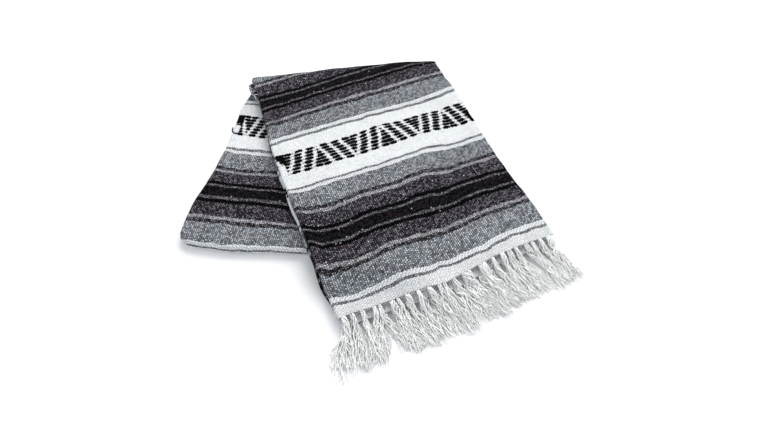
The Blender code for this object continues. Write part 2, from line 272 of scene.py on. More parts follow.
def front_point(across, along, depth):
    """Points of the front leg, whose fold-frame places come as an array with x, y, z last."""
    place = np.clip(along, 0.0, FRONT_LENGTH)
    left_slip, middle_slip, right_slip, left, right = [read(FRONT_SLIP, place, k) for k in range(1, 6)]
    forward = left_slip + (middle_slip - left_slip) * smooth(across / SLIP_MIDDLE)
    past_middle = smooth((across - SLIP_MIDDLE) / (SLIP_RIGHT - SLIP_MIDDLE))
    forward += (right_slip - middle_slip) * past_middle
    sideways = across - WIDTH / 2 + left * (1 - across / WIDTH) + right * across / WIDTH
    lengthways = along - FRONT_LENGTH - forward
    x = sideways * COS - lengthways * SIN
    y = sideways * SIN + lengthways * COS
    behind = np.maximum(-y, 0.0)
    height = (front_top(x, y, behind) - depth) * ridge_tilt(across, behind)
    return np.stack([x, y + turn_bow(across, behind), height], axis=-1)


def roll_point(across, angle, depth):
    """Points of the turn-over. The angle is 0 on top and pi on the floor."""
    across, angle, depth = np.broadcast_arrays(across, angle, depth)
    radius = ROLL_RADIUS - depth
    left = FRONT_SLIP[-1, 4] * (1 - across / WIDTH)
    x = (across - WIDTH / 2) / COS + left * COS
    y = radius * np.sin(angle) + turn_bow(across, 0.0) + left * SIN
    height = (ROLL_RADIUS + radius * np.cos(angle)) * ridge_tilt(across, 0.0)
    return np.stack([x, y, height], axis=-1)


def strip_point(across, along, depth):
    """Points of the strip from its hem, over the turn-over and on under the back leg."""
    across, along, depth = np.broadcast_arrays(across, along, depth)
    past = along - front_length(across)
    angle = np.clip(past * COS / ROLL_RADIUS, 0.0, math.pi)
    under = np.maximum(past - ROLL_LENGTH, 0.0)
    front = front_point(across, np.minimum(along, front_length(across)), depth)
    roll = roll_point(across, angle, depth)
    roll[..., 1] -= under
    return np.where((past > 0)[..., None], roll, front)


def back_end(across):
    """Length of the back leg along its end's slanted line, with a round left corner."""
    corner = np.maximum(0.0, 1 - across / END_CORNER)
    return BACK_LENGTH - read(END_SLANT, across) - END_CORNER_CUT * corner * corner


def back_start(across):
    """Where the back leg starts at the turn-over, as a place along it."""
    return -(across - WIDTH / 2) * TAN


def back_point(across, along, height, out=0.0):
    """Points of the back leg at a height over the floor, out past its last straight row."""
    start, straight = back_start(across), back_end(across) - END_ROUND
    share = np.clip((along - start) / (straight - start), 0.0, 1.0)
    left = read(BACK_SLIP, share, 1) * (1 - across / WIDTH)
    right = read(BACK_SLIP, share, 2) * across / WIDTH
    sideways = across - WIDTH / 2 + left + right
    x = sideways * COS - (along + out) * SIN
    y = -sideways * SIN - (along + out) * COS
    return np.stack([x, y + turn_bow(across, np.maximum(-y, 0.0)), height + 0 * x], axis=-1)


def back_height(across, along):
    """Height of the back leg's top ply."""
    return stack_thickness((along - back_start(across)) * COS)


def creased(creases, across, along):
    """Height of the soft creases at a place on a leg."""
    total = 0.0 * (across + along)
    for a0, v0, a1, v1, half, height in creases:
        run = np.array((a1 - a0, v1 - v0))
        long = np.hypot(*run)
        ahead = ((across - a0) * run[0] + (along - v0) * run[1]) / long
        aside = (-(across - a0) * run[1] + (along - v0) * run[0]) / long
        fade = smooth(ahead / (0.3 * long)) * smooth((long - ahead) / (0.3 * long))
        total += height * fade * np.exp(-(aside / half) ** 2)
    return total


def stripe_place(table, bends, across, along, seed):
    """Place in the stripe pattern, with its bends and the small waves of hand weaving."""
    bent = along + 0.0
    for middle, place, wide, long, shift in bends:
        bent = bent - shift * np.exp(-((across - middle) / wide) ** 2 - ((along - place) / long) ** 2)
    return read(table, bent) + waves(STRIPE_WAVES, across, along, seed)


RELIEF = (
    # distance from the black band's middle, half width and height of each thick or thin weft line
    (0.0872, 0.0026, 0.0006),
    (0.0928, 0.0018, -0.0003),
    (0.0455, 0.0022, 0.0002),
)


def rope_relief(place):
    """Height of the thick weft lines: the white rope-like lines stand up, the thin grey ones sink."""
    from_black = np.abs((place + HALF_REPEAT) % (2 * HALF_REPEAT) - HALF_REPEAT)
    return sum(height * np.exp(-((from_black - at) / half) ** 4) for at, half, height in RELIEF)


# Where the fold's own origin lies: the same outer wall, in the fold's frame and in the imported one

def fold_origin():
    """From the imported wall's two reaches: its right hem corner and its bowed turn-over."""
    low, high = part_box("front_cloth")
    hem_corner = front_point(np.array(WIDTH), np.array(0.0), 0.0)
    return np.array((high.x - hem_corner[0], high.y - ROLL_RADIUS - PACKED_BOW, 0.0))


ORIGIN = fold_origin()


# Meshes

def quads_of(rows, columns, first=0):
    """Corner numbers of the quads of a grid of points."""
    i = np.arange(rows - 1)[:, None] * columns + np.arange(columns - 1) + first
    return np.stack([i, i + 1, i + columns + 1, i + columns], axis=-1).reshape(-1, 4)


def make_piece(name, points, quads, uv, material, uv_name="Cloth"):
    """A smooth mesh of quads, kept off the floor, with a flat place for every point."""
    placed = points.reshape(-1, 3) + ORIGIN
    placed[:, 2] = np.maximum(placed[:, 2], FLOOR_CLEAR)
    mesh = bpy.data.meshes.new(name)
    mesh.from_pydata(placed.tolist(), [], quads.tolist())
    layer = mesh.uv_layers.new(name=uv_name)
    corners = np.empty(len(mesh.loops), dtype=np.int32)
    mesh.loops.foreach_get("vertex_index", corners)
    layer.data.foreach_set("uv", uv.reshape(-1, 2)[corners].astype(np.float32).ravel())
    mesh.shade_smooth()
    mesh.validate()
    thing = bpy.data.objects.new(name, mesh)
    bpy.context.scene.collection.objects.link(thing)
    mesh.materials.append(material)
    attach(thing, "root")
    return thing


def make_sheets(name, sheets, material):
    """A piece of one or more grids of points, each rows by columns by 3, with their flat places."""
    quads, first = [], 0
    for points, uv in sheets:
        rows, columns = points.shape[:2]
        quads.append(quads_of(rows, columns, first))
        first += rows * columns
    points = np.concatenate([points.reshape(-1, 3) for points, uv in sheets])
    uvs = np.concatenate([uv.reshape(-1, 2) for points, uv in sheets])
    return make_piece(name, points, np.concatenate(quads), uvs, material)


# A ply's section across the strip: a turned-down left edge, the flat and a selvedge on the right

FINE = 0.0023
EDGE_STEPS = 8
SELVEDGE_STEPS = 4
WRAP_RADIUS = 0.0036
WRAP_DEPTH = 0.0083
TURNED_IN = 0.012
SELVEDGE_ROUND = 0.0009


def ply_section(right_in=0.0):
    """Across, depth, the inward normal and the flat place of each point of a ply's section."""
    points = [(TURNED_IN, WRAP_DEPTH), (TURNED_IN / 2, WRAP_DEPTH)]
    turns = [math.pi / 2 * i / EDGE_STEPS for i in range(EDGE_STEPS + 1)]
    points += [(WRAP_RADIUS * (1 - math.sin(turn)), WRAP_DEPTH - WRAP_RADIUS * (1 - math.cos(turn)))
               for turn in turns]
    points += [(WRAP_RADIUS * (1 - math.cos(turn)), WRAP_RADIUS * (1 - math.sin(turn))) for turn in turns]
    right = WIDTH - right_in
    steps = round((right - 2 * WRAP_RADIUS) / FINE)
    points += [(across, 0.0) for across in steps_of(WRAP_RADIUS, right - SELVEDGE_ROUND - WRAP_RADIUS, steps)]
    points += [(right - SELVEDGE_ROUND + SELVEDGE_ROUND * math.sin(turn), PLY / 2 * (1 - math.cos(turn)))
               for turn in steps_of(0.0, math.pi, SELVEDGE_STEPS)]
    points.append((right - TURNED_IN / 2, PLY))
    section = np.array(points)
    run = np.gradient(section, axis=0)
    run /= np.linalg.norm(run, axis=1, keepdims=True)
    inward = np.stack([-run[:, 1], run[:, 0]], axis=1)
    inward[section[:, 0] > right - 2 * SELVEDGE_ROUND] = (0, 0)
    steps = np.linalg.norm(np.diff(section, axis=0), axis=1)
    flat = np.concatenate([[0.0], np.cumsum(steps)])
    top = np.argmax(section[:, 1] <= 1e-9)
    flat += section[top, 0] - flat[top]
    return section[:, 0], section[:, 1], inward, flat


EDGE_REACH = 0.05
EDGE_SWAY_LEFT = -0.0007
EDGE_SWAY_RIGHT = 0.0008
LOOP_OUT = 0.0005
LOOP_PITCH = 0.0052
LOOP_REACH = 0.004
LOOP_MIDDLE = 0.6


def selvedge(across, along, seed):
    """How far the two edges stand out from straight lines, with the small loops of the weft."""
    near_left = np.clip(1 - across / EDGE_REACH, 0, 1) ** 2
    near_right = np.clip(1 - (WIDTH - across) / EDGE_REACH, 0, 1) ** 2
    slow = waves(SELVEDGE_WAVES, along, 0 * along, seed)
    loops = np.abs(np.sin(math.pi * along / LOOP_PITCH)) - LOOP_MIDDLE
    at_edge = np.clip(1 - (WIDTH - across) / LOOP_REACH, 0, 1)
    sway = EDGE_SWAY_LEFT * slow * near_left + EDGE_SWAY_RIGHT * slow * near_right
    return sway + LOOP_OUT * loops * at_edge


def hem_wave(across, seed):
    """How far a hem stands out from a straight line."""
    return waves(HEM_WAVES, across, 0 * across, seed)


HEM_TUCKS = (0.010, 0.004)
HEM_STEPS = 6


def hem_rows():
    """Rows round a hem: how far in from the hem, and the share of the ply's thickness."""
    turns = [math.pi * i / HEM_STEPS for i in range(HEM_STEPS + 1)]
    return [(tuck, 1.0) for tuck in HEM_TUCKS] + [
        (PLY / 2 * (1 - math.sin(turn)), 0.5 + 0.5 * math.cos(turn)) for turn in turns]


# Outer ply over the front leg, round the turn-over and on under the back leg

FRONT_ROWS = 186
ROLL_ROWS = 34
UNDER_ROWS = 6
UNDER_REACH = 0.030
HEM_FADE = 0.03
EDGE_OUT = 0.001


def make_front_ply(material):
    across, depth, inward, flat = ply_section()
    length = front_length(across)
    hem = hem_rows()
    last = hem[-1][0]
    along = np.array(
        [inset + 0 * across for inset, share in hem]
        + steps_of(last, length - last, FRONT_ROWS)
        + steps_of(length, ROLL_LENGTH, ROLL_ROWS)
        + steps_of(length + ROLL_LENGTH, UNDER_REACH, UNDER_ROWS))
    thick = np.zeros((len(along), 1))
    thick[:len(hem), 0] = [PLY * share for inset, share in hem]
    place = along - hem_wave(across, 3) * np.clip(1 - along / HEM_FADE, 0, 1)
    across = across + 0 * along
    on_top = np.clip(1 - depth / PLY, 0, 1)
    pattern = stripe_place(FRONT_STRIPES, FRONT_BENDS, flat, along, 11)
    relief = rope_relief(pattern) + creased(FRONT_CREASES, across, along)
    relief += waves(FRONT_WAVES, across, along, 5)
    sideways = across + selvedge(across, along, 21) + thick * inward[:, 0]
    points = strip_point(np.clip(sideways, -EDGE_OUT, WIDTH + EDGE_OUT), place,
                         depth + thick * inward[:, 1] - on_top * relief)
    uv = np.stack([flat + 0 * along, pattern], axis=-1)
    return make_sheets("front_ply", [(points, uv)], material)


# Outer ply over the back leg and round its end

CREASE_START = 0.006
BACK_ROWS = 150
END_ROWS = 14
END_RELIEF = 0.8
END_TUCK = 0.02
SLANT_START = 0.300
STRIPE_SLANT = 0.010


def make_back_ply(material):
    across, depth, inward, flat = ply_section()
    start, straight = back_start(across) + CREASE_START, back_end(across) - END_ROUND
    on_top = np.clip(1 - depth / PLY, 0, 1)
    rows, uvs = [], []
    for i in range(BACK_ROWS + END_ROWS + 1):
        turn = math.pi * max(i - BACK_ROWS, 0) / END_ROWS
        on_leg = straight if turn else start + (straight - start) * i / BACK_ROWS
        pattern = back_pattern(flat, on_leg + END_ROUND * turn)
        relief = rope_relief(pattern)
        sideways = np.maximum(across + selvedge(across, on_leg, 27), -EDGE_OUT)
        if turn:
            radius = END_ROUND - depth + END_RELIEF * relief * on_top
            height, out = END_ROUND + radius * math.cos(turn), radius * math.sin(turn)
        else:
            relief += creased(BACK_CREASES, across, on_leg) + waves(BACK_WAVES, across, on_leg, 7)
            height, out = back_height(across, on_leg) - depth + on_top * relief, 0.0
        rows.append(back_point(sideways, on_leg, height, out))
        uvs.append(np.stack([BACK_SHIFT + flat, pattern], axis=-1))
    rows.append(back_point(across, straight - END_TUCK, depth))
    uvs.append(uvs[-1] + (0, END_TUCK))
    return make_sheets("back_ply", [(np.array(rows), np.array(uvs))], material)


def back_pattern(flat, along):
    """Place in the stripe pattern on the back leg, whose last stripes slant with its end."""
    slanting = smooth((along - SLANT_START) / 0.060) * smooth((flat - 0.060) / 0.120) * STRIPE_SLANT
    return stripe_place(BACK_STRIPES, BACK_BENDS, flat, along + slanting, 13)


# Hidden plies, as one long closed tube whose two sides show each ply's edge

SIDE_STEPS = 6
SIDE_ROUND = 0.0026
LAYER_ROWS = 150
LAYER_START = 0.014
ROLL_STEPS = 32
LEVEL_START = 0.012
LEVEL_STEPS = 34
UNDER_OUTER = 0.0004
OVER_FLOOR = 0.0003
PLY_SLACK = 0.0006
SIDE_OFF = 0.004


def side_profile(folds):
    """Depth share, inset, fold number and stripe shift down one side of the stack."""
    points = []
    for group, (first, last, inset, shift) in enumerate(folds):
        count = round(SIDE_STEPS * (last - first))
        reach = min((last - first) * PLY / 2, SIDE_ROUND)
        for i in range(count + 1):
            turn = math.pi * i / count
            points.append(((first + (last - first) * (0.5 - 0.5 * math.cos(turn))) / PLIES,
                           inset + reach * (1 - math.sin(turn)), group, shift))
    return np.array(points).T


LEFT_FOLDS = (
    # first ply, last ply, how far the edge is set in, how far its stripes are moved along
    (1.0, 3.0, 0.005, 0.012),
    (3.0, 4.0, 0.006, -0.02),
    (4.0, 8.0, 0.0004, 0.06),
)
RIGHT_FOLDS = (
    # first ply, last ply, how far the edge is set in, how far its stripes are moved along
    (1.0, 2.0, 0.0016, 0.002),
    (2.0, 4.0, 0.0004, -0.004),
    (4.0, 6.0, 0.001, 0.058),
    (6.0, 7.0, 0.0026, 0.062),
    (7.0, 8.0, 0.0012, 0.055),
)


def edge_waves(size, keys, folds, seed):
    """How far each fold's edge stands out at each place along the strip."""
    shifts = np.random.default_rng(seed).uniform(0, 100, len(folds))
    return np.array([waves(size, keys + shift, 0 * keys, seed + 1 + i) for i, shift in enumerate(shifts)])


ROLL_STAND = 0.0085
ROLL_STAND_BEFORE = 0.070
ROLL_STAND_AFTER = 0.065
ROLL_STRIPE_SHIFT = -0.045


def roll_end(key):
    """Share of the loose stand at the turn-over's left end, at a place along the strip."""
    after = key - FRONT_LENGTH - ROLL_LENGTH
    rise = smooth((key - FRONT_LENGTH + ROLL_STAND_BEFORE) / ROLL_STAND_BEFORE)
    return rise * (1 - smooth(after / ROLL_STAND_AFTER))


def layer_columns():
    """Depth share, across, side, fold number, stripe shift and flat place round the section."""
    left, right = side_profile(LEFT_FOLDS), side_profile(RIGHT_FOLDS)
    middle = np.linspace(LEVEL_START, WIDTH - LEVEL_START, LEVEL_STEPS)
    none, one = np.zeros(LEVEL_STEPS), np.ones(LEVEL_STEPS)

    def around(left_side, top, right_side, bottom):
        return np.concatenate([left_side[::-1], top, right_side, bottom])

    return (around(left[0], one / PLIES, right[0], one),
            around(left[1], middle, WIDTH - right[1], middle[::-1]),
            around(0 * left[0] - 1, none, 0 * right[0] + 1, none),
            around(left[2], none, right[2], none).astype(int),
            around(left[3], none, right[3], none),
            around(-SIDE_OFF - STACK * left[0], middle, WIDTH + SIDE_OFF + STACK * right[0], middle[::-1]))


def make_folded_plies(material):
    """Stations run from behind the hem over the turn-over to the back leg's end."""
    front = FRONT_LENGTH
    back = front + ROLL_LENGTH
    keys = np.concatenate([np.linspace(LAYER_START, front, LAYER_ROWS),
                           steps_of(front, ROLL_LENGTH, ROLL_STEPS),
                           back + np.linspace(CREASE_START, BACK_LENGTH - END_ROUND, LAYER_ROWS)])
    share, start_across, side, group, shift, flat = layer_columns()
    left_wave = edge_waves(LEFT_FOLD_WAVES, keys, LEFT_FOLDS, 51)
    right_wave = edge_waves(RIGHT_FOLD_WAVES, keys, RIGHT_FOLDS, 61)
    inner_share = np.clip((share - 1 / PLIES) / (1 - 1 / PLIES), 0.0, 1.0)

    def inner_depth(thickness):
        return PLY + UNDER_OUTER + inner_share * (thickness - PLY - PLY_SLACK)

    rings, uvs = [], []
    for n, key in enumerate(keys):
        out = np.where(side < 0, left_wave[np.minimum(group, len(LEFT_FOLDS) - 1), n],
                       right_wave[np.minimum(group, len(RIGHT_FOLDS) - 1), n])
        across = np.clip(start_across + side * out, 0.0, WIDTH)
        uneven = 0.62 + 0.38 * np.sin(2.6 * math.pi * share + 3.0 * key / front)
        stand = roll_end(key) * (side < 0)
        across = across - ROLL_STAND * uneven * stand
        if key <= front:
            along = key / front * front_length(across)
            lower_left = read(FRONT_SLIP, along, 6) * smooth(share / 0.6) * (side < 0)
            inner = stack_thickness((front_length(across) - along) * COS)
            points = front_point(across + lower_left, along, inner_depth(inner))
            pattern = read(FRONT_STRIPES, along)
        elif key <= back:
            turn = (key - front) / ROLL_LENGTH * math.pi
            points = roll_point(across, turn, inner_depth(ROLL_RADIUS - ROLL_HOLLOW))
            pattern = read(FRONT_STRIPES, front_length(across)) + turn * ROLL_RADIUS
        else:
            start, straight = back_start(across), back_end(across) - END_ROUND
            along = start + (key - front - ROLL_LENGTH) / (BACK_LENGTH - END_ROUND) * (straight - start)
            top = back_height(across, along) - PLY - PLY_SLACK
            points = back_point(across, along, OVER_FLOOR + inner_share * top)
            pattern = read(BACK_STRIPES, along)
        rings.append(points)
        uvs.append(np.stack([flat, pattern + shift + ROLL_STRIPE_SHIFT * stand], axis=-1))
    rows, columns = len(rings), len(share)
    i = np.arange(rows - 1) * columns
    closing = np.stack([i + columns - 1, i, i + columns, i + 2 * columns - 1], axis=-1)
    quads = np.concatenate([quads_of(rows, columns), closing])
    return make_piece("folded_plies", np.array(rings), quads, np.array(uvs), material)


# The plies' ends at the two hems

HEM_REACH = 0.034
HEM_LEVEL_START = 0.0025
HEM_LEVEL_ROWS = 14
HEM_COLUMNS = 130
HEM_LEFT_IN = 0.006
HEM_RIGHT_IN = 0.002
WRAPPED_RIGHT_IN = 0.001
HEM_THIN = 0.96
HEM_SHIFT = 0.013
UPPER_HEM = (
    # number of the ply, how far its end stands out
    (1, -0.0016),
    (2, -0.003),
    (3, -0.0008),
)
LOWER_HEM = (
    # number of the ply, how far its end stands out
    (5, LOWER_HEM_OUT - 0.0022),
    (6, LOWER_HEM_OUT - 0.0012),
    (7, LOWER_HEM_OUT - 0.0004),
)


def hem_ply(number, out, seed, wrapped=False):
    """One ply's end: a slab that comes out from under the plies above it to its own hem."""
    if wrapped:
        across, depth, inward, flat = ply_section(WRAPPED_RIGHT_IN)
    else:
        flat = across = np.linspace(HEM_LEFT_IN, WIDTH - HEM_RIGHT_IN, HEM_COLUMNS)
        depth = 0 * across
        inward = np.stack([0 * across, 1 + 0 * across], axis=1)
    level = steps_of(HEM_LEVEL_START, HEM_REACH - HEM_LEVEL_START, HEM_LEVEL_ROWS)
    rows = np.array(hem_rows() + [(inset, 0.0) for inset in level])
    inset, share = rows[:, :1], rows[:, 1:]
    place = inset - out - hem_wave(across, seed)
    pattern = stripe_place(FRONT_STRIPES, (), flat, inset + 0 * place, seed)
    lower = read(FRONT_SLIP, 0.0, 6) * (1 - smooth(across / EDGE_REACH)) if number >= PLIES / 2 else 0.0
    points = strip_point(across + lower + PLY * share * inward[:, 0] + 0 * place, place,
                         number * PLY + depth + PLY * HEM_THIN * share * inward[:, 1]
                         - rope_relief(pattern) * (1 - share) * (depth < PLY))
    return points, np.stack([flat + 0 * place + HEM_SHIFT * number, pattern], axis=-1)


# Fringe: loose twisted yarns in tassels, along both hems

TASSELS = 25
YARN_LENGTH = 0.077
YARN_STEPS = 28
YARN_SIDES = 7
YARN_RADIUS = 0.00078
YARN_LAY = 0.0120
LOBES = 0.13
END_TAPER = 0.35
NECK = 0.0030
TASSEL_IN = 0.0045
TASSEL_SPREAD = (0.0038, 0.0088)
TASSEL_BEND = 0.011
TASSEL_SWAY = 0.0022
FIRST_SPREAD = 0.008
LEAN_SPREAD = 9
YARN_WAVE = (0.0005, 0.0022)
YARN_RIPPLE = 0.0012
YARN_RISE = 0.0018
YARN_REST = 0.0011
YARN_LOWEST = 0.0010
PILE = 0.0085
FRINGE_SPLAY = np.array((
    # across, angle in degrees
    (0.0, -24.0),
    (0.015, -15.0),
    (0.035, -5.0),
    (0.08, 3.0),
    (0.14, 11.0),
    (0.24, 13.0),
    (0.29, 9.0),
    (0.32, 4.0),
))


def yarn_paths(seed, per_tassel, hem_out, root_depth, length, settle, shifts):
    """Centre points of every yarn of one fringe, an array of yarns by steps by 3."""
    random = np.random.default_rng(seed)
    draw = random.uniform
    t = np.linspace(0.0, 1.0, YARN_STEPS)
    paths = []
    for tassel in range(TASSELS):
        centre = (tassel + 0.5) * WIDTH / TASSELS + shifts[tassel]
        centre = min(max(centre, TASSEL_IN), WIDTH - TASSEL_IN)
        root_height = strip_point(centre, -hem_out, root_depth)[2]
        lean = math.radians(read(FRINGE_SPLAY, centre) + draw(-LEAN_SPREAD, LEAN_SPREAD))
        count = per_tassel + random.integers(-2, 3) + 3 * (tassel == 0)
        spread = draw(*TASSEL_SPREAD) + FIRST_SPREAD * (tassel == 0)
        neck = NECK * draw(0.55, 1.25)
        bend = draw(-TASSEL_BEND, TASSEL_BEND)
        reach = length * draw(0.86, 1.04)
        open_at = draw(0.04, 0.24)
        turns = random.choice((-1, 1)) * draw(0.5, 1.1) * math.tau
        sway = draw(-TASSEL_SWAY, TASSEL_SWAY)
        for yarn in range(count):
            phase = math.tau * yarn / count + draw(-0.3, 0.3)
            opened = smooth((t - open_at * draw(0.5, 1.1)) / draw(0.45, 0.75))
            bundle = phase + turns * np.minimum(t / 0.35, 1.2)
            tight = neck * (0.85 + 0.3 * smooth(t / 0.2))
            tip = (yarn + 0.5) / count * 2 - 1 + draw(-0.45, 0.45)
            own = reach * draw(0.84, 1.06)
            aside = tight * np.cos(bundle) * (1 - opened) + tip * spread * opened
            wave = draw(*YARN_WAVE) * np.sin(math.tau * (t * draw(1.2, 3.2) + draw(0, 1)))
            aside += wave * smooth(t / 0.35) + bend * t * t
            aside += sway * np.sin(math.pi * np.minimum(t / 0.6, 1.0))
            ahead = own * t
            aside += ahead * math.tan(lean) * smooth(t / 0.40)
            drop_at = settle * draw(0.85, 1.2)
            rest = YARN_REST + draw(0.0, 1.0) ** 1.4 * PILE * (1 - 0.75 * smooth(t))
            fall = smooth(t / drop_at)
            height = root_height * (1 - fall) + rest * fall
            height += YARN_RISE * np.sin(math.pi * np.clip(t / (0.45 * drop_at), 0, 1))
            height += 0.5 * tight * np.sin(bundle) * (1 - opened) * (1 - 0.5 * fall)
            ripple = YARN_RIPPLE * np.sin(math.pi * (t * draw(2, 4) + draw(0, 1))) ** 2
            height = np.maximum(height + ripple * smooth(t / 0.5), YARN_LOWEST)
            paths.append(fringe_path(centre, aside, hem_out + ahead * (1 - 0.05 * smooth(t / 0.4)), height))
    return np.array(paths)


FLUFF_STEPS = 9
FLUFF_SIDES = 4
FLUFF_RADIUS = 0.00030
FLUFF_OUT = (0.0015, 0.0060)
FLUFF_UP = 0.0035


def along_path(path, share):
    """Points of a path at shares of it, straight between the path's own points."""
    last = len(path) - 1
    return np.stack([np.interp(share * last, np.arange(last + 1), path[:, k]) for k in range(3)], axis=-1)


def fluff_paths(paths, seed, count):
    """Fine fibres that leave the yarns' lower halves, to either side and upward."""
    random = np.random.default_rng(seed)
    out = []
    for i in range(count):
        path = paths[random.integers(0, len(paths))]
        start = random.uniform(0.30, 0.80)
        share = np.linspace(start, min(start + random.uniform(0.16, 0.34), 1.0), FLUFF_STEPS)
        fibre = along_path(path, share)
        away = np.linspace(0, 1, FLUFF_STEPS)
        run = fibre[-1] - fibre[0]
        aside = np.array((run[1], -run[0], 0.0)) / max(np.hypot(run[0], run[1]), 1e-6)
        far = random.choice((-1, 1)) * random.uniform(*FLUFF_OUT)
        fibre = fibre + (far * away ** 1.6)[:, None] * aside
        fibre[:, 2] += random.uniform(0.0, FLUFF_UP) * np.sin(math.pi * away * random.uniform(0.6, 1.0))
        out.append(fibre)
    return np.array(out)


def fringe_path(centre, aside, out, height):
    """Points off a hem: out along the strip from a point of the hem, and aside from it."""
    x, y, _ = front_point(np.array(centre), np.array(0.0), 0.0)
    return np.stack([x + aside * COS + out * SIN, y + aside * SIN - out * COS, height], axis=-1)


def yarn_mesh(name, paths, seed, radius, material, sides=YARN_SIDES):
    """Two-ply yarns: tubes with a two-lobed section that turns along them."""
    random = np.random.default_rng(seed)
    count, steps = paths.shape[:2]
    run = np.gradient(paths, axis=1)
    run /= np.linalg.norm(run, axis=2, keepdims=True)
    side = np.cross(run, (0.0, 0.0, 1.0))
    side /= np.maximum(np.linalg.norm(side, axis=2, keepdims=True), 1e-9)
    up = np.cross(side, run)
    lengths = np.concatenate([np.zeros((count, 1)),
                              np.cumsum(np.linalg.norm(np.diff(paths, axis=1), axis=2), axis=1)], axis=1)
    turn = math.tau * np.arange(sides) / sides
    twist = math.tau / YARN_LAY * lengths + random.uniform(0, 6, (count, 1))
    angle = turn + twist[..., None]
    share = np.linspace(0, 1, steps)[:, None]
    taper = 1 - END_TAPER * smooth((share - 0.88) / 0.12)
    thick = radius * random.uniform(0.85, 1.15, (count, 1, 1)) * (1 + LOBES * np.cos(2 * turn)) * taper
    points = paths[:, :, None, :] + (thick * np.cos(angle))[..., None] * side[:, :, None, :] \
        + (thick * np.sin(angle))[..., None] * up[:, :, None, :]
    ring = np.arange(sides)
    nxt = (ring + 1) % sides
    rows = np.arange(steps - 1)[:, None] * sides
    quads = np.stack([rows + ring, rows + nxt, rows + sides + nxt, rows + sides + ring], axis=-1)
    number = np.arange(count)[:, None, None]
    all_quads = (quads.reshape(-1, 4) + number * steps * sides).reshape(-1, 4)
    around = turn / math.tau + number + 0 * angle
    uv = np.stack([lengths[..., None] + 0 * angle, around], axis=-1)
    return make_piece(name, points, all_quads, uv, material, "Yarn")


# Loose ends: a black weft end off the back leg, and fibres at the turn-over's frayed left end

LOOSE_STEPS = 16
BLACK_END = np.array((
    # across, along the back leg, height as a share of the leg's own
    (0.012, 0.15, 1.0),
    (0.0065, 0.15, 1.0),
    (0.002, 0.148, 0.96),
    (-0.0012, 0.1435, 0.9),
    (-0.0005, 0.1375, 1.02),
))
BLACK_END_RADIUS = YARN_RADIUS * 1.5
FRAYED = 9
FRAYED_RADIUS = FLUFF_RADIUS * 1.3


def rounded(points):
    """A smooth path through a few given points."""
    path = along_path(points, np.linspace(0, 1, LOOSE_STEPS))
    for i in range(3):
        path[1:-1] = (path[:-2] + 2 * path[1:-1] + path[2:]) / 4
    return path


def black_end_path():
    across, along, share = rounded(BLACK_END).T
    edge = np.clip(across, 0.0, None)
    return back_point(across, along, share * back_height(edge, along) + YARN_RADIUS)[None]


def frayed_paths():
    random = np.random.default_rng(211)
    paths = []
    for i in range(FRAYED):
        along = front_length(0.0) - 0.050 + 0.055 * i / (FRAYED - 1) + random.uniform(-0.002, 0.002)
        depth = random.uniform(0.0, 0.016)
        out = random.uniform(0.005, 0.011)
        rise = random.uniform(-0.004, 0.005)
        away = np.linspace(0, 1, LOOSE_STEPS)
        along = along + random.uniform(-0.006, 0.006) * away ** 2
        path = strip_point(0.003 - out * away, along, depth + 0 * away)
        path[:, 2] += rise * away ** 2
        paths.append(path)
    return np.array(paths)


# Materials

def operation(name):
    """A method that adds one arithmetic node."""
    def apply(value, *others):
        return value.web.math(name, value, *others)
    return apply


class Value:
    """A value of a material that differs from point to point, with plain arithmetic."""

    def __init__(self, web, socket):
        self.web = web
        self.socket = socket

    __add__ = operation("ADD")
    __sub__ = operation("SUBTRACT")
    __mul__ = operation("MULTIPLY")
    __mod__ = operation("FLOORED_MODULO")
    __pow__ = operation("POWER")
    __abs__ = operation("ABSOLUTE")
    floor = operation("FLOOR")
    fract = operation("FRACT")
    sine = operation("SINE")
    folded = operation("PINGPONG")
    or_more = operation("MAXIMUM")

    def __rsub__(self, other):
        return self.web.math("SUBTRACT", other, self)

    def __truediv__(self, size):
        return self * (1 / size)


